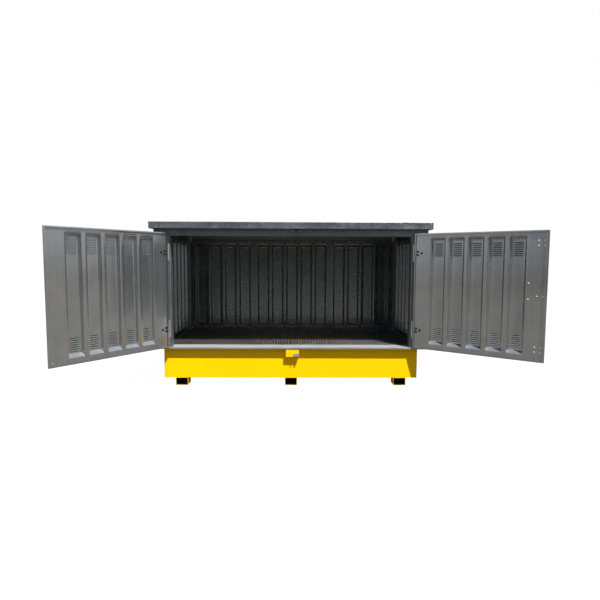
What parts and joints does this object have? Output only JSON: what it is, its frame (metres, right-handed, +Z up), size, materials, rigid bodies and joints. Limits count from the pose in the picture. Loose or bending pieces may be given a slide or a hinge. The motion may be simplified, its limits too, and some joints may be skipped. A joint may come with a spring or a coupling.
{
  "type": "spill containment pallet",
  "caption": "Enclosed spill containment pallet: steel sump on feet with lift-out gratings under a pressed-sheet housing with hinged double doors and two sliding lock rods.",
  "frame": {"origin": "on the floor, at the middle of the sump footprint", "axes": "+X to the right seen from the doors, +Y to the rear, +Z up; the doors face -Y"},
  "size_m": [4.6645, 2.6555, 1.86],
  "materials": {
    "sump_yellow": "powder coat",
    "galvanised_grating": "hot-dip galvanised",
    "roof_flashing": "weathered galvanised",
    "roof_sheet": "galvanised",
    "door_sheet": "galvanised with fine spangle",
    "wall_sheet": "galvanised with fine spangle",
    "galvanised_frame": "galvanised",
    "zinc_fitting": "zinc plated",
    "black_cap": "satin"
  },
  "bodies": {
    "housing": {"bearers": "galvanised_grating", "foot_front_left": "sump_yellow", "foot_front_middle": "sump_yellow", "foot_front_right": "sump_yellow", "foot_rear_left": "sump_yellow", "foot_rear_middle": "sump_yellow", "foot_rear_right": "sump_yellow", "front_sill": "galvanised_frame", "header": "galvanised_frame", "hinge_pins": "zinc_fitting", "hinge_plate_left_lower": "zinc_fitting", "hinge_plate_left_upper": "zinc_fitting", "hinge_plate_right_lower": "zinc_fitting", "hinge_plate_right_upper": "zinc_fitting", "keeper_bracket": "sump_yellow", "keeper_lower": "zinc_fitting", "keeper_upper": "zinc_fitting", "post_front_left": "galvanised_frame", "post_front_right": "galvanised_frame", "post_rear_left": "galvanised_frame", "post_rear_right": "galvanised_frame", "rear_base_rail": "galvanised_frame", "rear_wall_left": "wall_sheet", "rear_wall_middle": "wall_sheet", "rear_wall_right": "wall_sheet", "roof_fascia": "roof_flashing", "roof_purlins": "roof_sheet", "roof_rear_edge": "roof_flashing", "roof_sheet": "roof_sheet", "roof_verge_left": "roof_flashing", "roof_verge_right": "roof_flashing", "side_base_rail_left": "galvanised_frame", "side_base_rail_right": "galvanised_frame", "side_wall_left": "wall_sheet", "side_wall_right": "wall_sheet", "sump_tray": "sump_yellow", "top_rail_left": "galvanised_frame", "top_rail_rear": "galvanised_frame", "top_rail_right": "galvanised_frame"},
    "left_door": {"door_leaf_left": "door_sheet", "hinge_bolts_left": "black_cap", "hinge_strap_left_lower": "zinc_fitting", "hinge_strap_left_upper": "zinc_fitting"},
    "right_door": {"door_leaf_right": "door_sheet", "hinge_bolts_right": "black_cap", "hinge_strap_right_lower": "zinc_fitting", "hinge_strap_right_upper": "zinc_fitting", "lock_bolts": "zinc_fitting", "lock_guides": "zinc_fitting", "pull_handle": "zinc_fitting"},
    "lower_rod": {"lock_rod_lower": "zinc_fitting"},
    "upper_rod": {"lock_rod_upper": "zinc_fitting"},
    "panel_1": {"grating_1": "galvanised_grating"},
    "panel_2": {"grating_2": "galvanised_grating"},
    "panel_3": {"grating_3": "galvanised_grating"},
    "panel_4": {"grating_4": "galvanised_grating"}
  },
  "joints": [
    {"name": "left_door_hinge", "type": "hinge", "parent": "housing", "child": "left_door", "pos_m": [-1.373, -0.75, 1.092], "axis": [0, 0, -1], "range_deg": [-126.75, 38.25]},
    {"name": "right_door_hinge", "type": "hinge", "parent": "housing", "child": "right_door", "pos_m": [1.373, -0.75, 1.092], "axis": [0, 0, 1], "range_deg": [-143.13, 21.87]},
    {"name": "lower_rod_slide", "type": "slide", "parent": "right_door", "child": "lower_rod", "axis": [0, 0, 1], "range_m": [-0.095, 0]},
    {"name": "upper_rod_slide", "type": "slide", "parent": "right_door", "child": "upper_rod", "axis": [0, 0, -1], "range_m": [-0.095, 0]},
    {"name": "lift_grating_1", "type": "slide", "parent": "housing", "child": "panel_1", "axis": [0, 0, 1], "range_m": [0, 0.3]},
    {"name": "lift_grating_2", "type": "slide", "parent": "housing", "child": "panel_2", "axis": [0, 0, 1], "range_m": [0, 0.3]},
    {"name": "lift_grating_3", "type": "slide", "parent": "housing", "child": "panel_3", "axis": [0, 0, 1], "range_m": [0, 0.3]},
    {"name": "lift_grating_4", "type": "slide", "parent": "housing", "child": "panel_4", "axis": [0, 0, 1], "range_m": [0, 0.3]}
  ]
}
